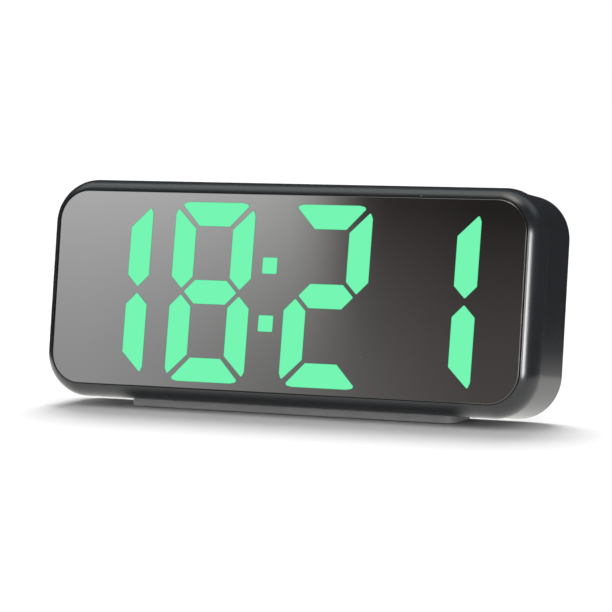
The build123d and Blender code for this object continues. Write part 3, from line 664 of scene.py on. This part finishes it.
def segmentCorners(size):
    # outlines about the digit's centre, in millimetres; letters run clockwise from the top bar;
    # the outer corners are cut back, the others mitred
    w, h, t = size["width"] / 2, size["height"] / 2, size["stroke"]
    q = size["gap"] / math.sqrt(2)
    right = [(w - inset, h - drop) for inset, drop in size["barEnd"]] + [(w - size["barInner"], h - t)]
    left = [(-x, up) for x, up in reversed(right)]
    top = left[-1:] + right + left[:-1]
    side = [(w - inset, h - drop) for inset, drop in size["sideEnd"]]
    side += [(w, t / 2 + q), (w - t / 2, q), (w - t, t / 2 + q), (w - t, h - t - q)]
    middle = [(w - t / 2 - q, 0), (w - t - q, t / 2), (-w + t + q, t / 2), (-w + t / 2 + q, 0),
              (-w + t + q, -t / 2), (w - t - q, -t / 2)]
    flip = {"a": (top, 1, 1), "b": (side, 1, 1), "c": (side, 1, -1), "d": (top, 1, -1),
            "e": (side, -1, -1), "f": (side, -1, 1), "g": (middle, 1, 1)}
    return {letter: np.array(points) * (across, down) for letter, (points, across, down) in flip.items()}


def makeGlow(name, corners, size):
    # a thin plate: outline rings from the bottom edge up and in to the start of the darker rim
    reach = size["round"] - np.array([0.0, 0.0, size["rim"]])
    slanted = corners + np.stack([corners[:, 1] * size["slant"], np.zeros(len(corners))], -1)
    ring = roundedPolygon(slanted, size["round"], reach) * mm
    lift = -(size["lift"] - np.array([size["thickness"], 0.0, 0.0])) * mm
    piece = meshFromGrid(name, inCase(ring[..., 0], ring[..., 1], np.broadcast_to(lift, ring.shape[:2])),
                         capStart=True, capEnd=True, edge=np.array([1.0, 1.0, 0.0]))
    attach(piece, "case")
    piece.visible_diffuse = False
    piece.data.materials.append(glow)
    return piece


glow = glowingDigit("digitGlow", digitLook)
outlines = segmentCorners(digits)
for number, (x, letters) in enumerate(zip(digits["places"], digits["letters"])):
    for letter in letters:
        makeGlow(f"glow{number + 1}{letter}", outlines[letter] + (x, digits["up"]), digits)
half = digits["colonSize"] / 2
square = np.array([(half, half), (-half, half), (-half, -half), (half, -half)])
for number, place in enumerate(digits["colon"]):
    makeGlow(f"glowColon{number + 1}", square + np.array(place), digits)
print("digits made")


copyLook = {"merge": 0.000002, "bend": 35.0, "flatArea": 6e-6, "flatTurn": 0.9999,
            "turnStep": 0.01, "planeStep": 0.00002}


def evenNormals(mesh, look):
    # flat faces along the case's own axes keep their exact normal and hand it to the rounds
    # that run out into them; other faces take the mean of the neighbours they bend into
    count, corners = len(mesh.polygons), len(mesh.loops)
    normal, centre = np.empty(count * 3), np.empty(count * 3)
    area, total = np.empty(count), np.empty(count, dtype=np.int32)
    point = np.empty(corners, dtype=np.int32)
    mesh.polygons.foreach_get("normal", normal)
    mesh.polygons.foreach_get("center", centre)
    mesh.polygons.foreach_get("area", area)
    mesh.polygons.foreach_get("loop_total", total)
    mesh.loops.foreach_get("vertex_index", point)
    normal, centre = normal.reshape(-1, 3), centre.reshape(-1, 3)
    face = np.repeat(np.arange(count), total)
    axes = np.stack([rightward, upward, forward])
    axial = np.abs(normal @ axes.T).max(1) > look["flatTurn"]
    planes = np.round(np.column_stack([normal / look["turnStep"],
                                       (normal * centre).sum(1) / look["planeStep"]]))
    group = np.unique(planes, axis=0, return_inverse=True)[1].reshape(-1)
    flat = axial & (np.bincount(group, area)[group] > look["flatArea"])
    order = np.argsort(point, kind="stable")
    start = np.searchsorted(point[order], np.arange(len(mesh.vertices) + 1))
    near = math.cos(math.radians(look["bend"]))
    result = normal[face]
    for vertex in range(len(mesh.vertices)):
        own = order[start[vertex]:start[vertex + 1]]
        around = face[own]
        alike = normal[around] @ normal[around].T > near
        level = flat[around]
        weight = area[around] + 1e-12
        for spot, corner in enumerate(own):
            if level[spot]:
                continue
            chosen = alike[spot] & level
            chosen = chosen if chosen.any() else alike[spot]
            mean = (normal[around[chosen]] * weight[chosen, None]).sum(0)
            result[corner] = mean / np.linalg.norm(mean)
    mesh.normals_split_custom_set(result.tolist())


def smoothCopy(node, finish):
    # the same shape with its doubled points merged, so that round faces shade round
    mesh = nodes[node].data.copy()
    mesh.name = node + "Smooth"
    work = bmesh.new()
    work.from_mesh(mesh)
    bmesh.ops.remove_doubles(work, verts=work.verts, dist=copyLook["merge"])
    work.to_mesh(mesh)
    work.free()
    mesh.polygons.foreach_set("use_smooth", np.ones(len(mesh.polygons), dtype=bool))
    mesh.materials.clear()
    mesh.materials.append(finish)
    evenNormals(mesh, copyLook)
    piece = bpy.data.objects.new(node + "Smooth", mesh)
    bpy.context.scene.collection.objects.link(piece)
    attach(piece, nodes[node]["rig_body"])
    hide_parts(node)
    return piece


def paint(node, finish):
    # gives a CAD piece its finish in the slots it already has
    mesh = nodes[node].data
    if not mesh.materials:
        mesh.materials.append(finish)
    for number in range(len(mesh.materials)):
        mesh.materials[number] = finish


shellPlastic = dict(casePlastic, color=(0.019, 0.0205, 0.0235), roughness=0.24)
finishes = {
    "case_plastic": mouldedPlastic("shellPlastic", shellPlastic),
    "button_plastic": satinPlastic("buttonPlastic", (0.035, 0.037, 0.040), 0.42),
    "foot_plastic": satinPlastic("footPlastic", (0.45, 0.45, 0.453), 0.55, specular=0.3),
    "pad_rubber": rubberFinish("padRubber", (0.018, 0.018, 0.018)),
    "mirror": halfMirror("halfMirrorBack", mirrorLook),
    "tape": satinPlastic("foamTape", (0.01, 0.01, 0.01), 0.8, 5200),
    "film": satinPlastic("diffuserFilm", (0.62, 0.62, 0.60), 0.5, 5200),
    "light_box": satinPlastic("lightBoxPlastic", (0.72, 0.72, 0.70), 0.5),
    "segment_glow": satinPlastic("segmentGlowResin", (0.20, 0.70, 0.38), 0.35),
    "segment_resin": satinPlastic("segmentResin", (0.55, 0.57, 0.54), 0.35),
    "board": boardFinish("boardMask", (0.012, 0.085, 0.035)),
    "led": satinPlastic("ledBody", (0.62, 0.58, 0.36), 0.3),
    "screw_steel": metalFinish("screwSteel", (0.52, 0.52, 0.54)),
    "chip_plastic": satinPlastic("chipPlastic", (0.012, 0.012, 0.013), 0.5),
    "can_metal": metalFinish("canMetal", (0.70, 0.70, 0.72), 0.3, (1.0, 1.0, 0.05)),
    "pin_metal": metalFinish("pinMetal", (0.72, 0.66, 0.52), 0.25),
    "spring_steel": metalFinish("springSteel", (0.62, 0.62, 0.63), 0.22),
    "usb_steel": metalFinish("usbSteel", (0.60, 0.60, 0.62), 0.26),
    "usb_plastic": satinPlastic("usbPlastic", (0.012, 0.012, 0.012), 0.4),
    "wire_cover": satinPlastic("wireCover", (0.30, 0.02, 0.02), 0.4),
    "switch_plastic": satinPlastic("switchPlastic", (0.02, 0.02, 0.02), 0.4),
    "plunger_plastic": satinPlastic("plungerPlastic", (0.45, 0.45, 0.43), 0.4),
    "label_film": labelFinish("labelFilm"),
}
finishOf = {node: finishes.get(slotOfNode[node]) for node in nodes}
cells = ["battery_cell_1", "battery_cell_2", "battery_cell_3"]
for number, cell in enumerate(cells):
    cellLow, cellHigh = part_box(cell)
    finishOf[cell] = jacketFinish(f"cellJacket{number + 1}", jacketLook, cellLow[0], cellHigh[0])

roundNodes = ["rear_shell", "battery_door", "wedge_foot", "foot_pad", "slider_knob", "usb_shell",
              "battery_springs", "case_screws"] + cells
roundNodes += [node for node in nodes if node.startswith("button_")]
for node, finish in finishOf.items():
    if node in roundNodes:
        smoothCopy(node, finish)
    elif node not in ("front_bezel", "mirror_panel"):
        paint(node, finish)
print("finishes given")

bpy.context.scene.view_settings.view_transform = "Standard"
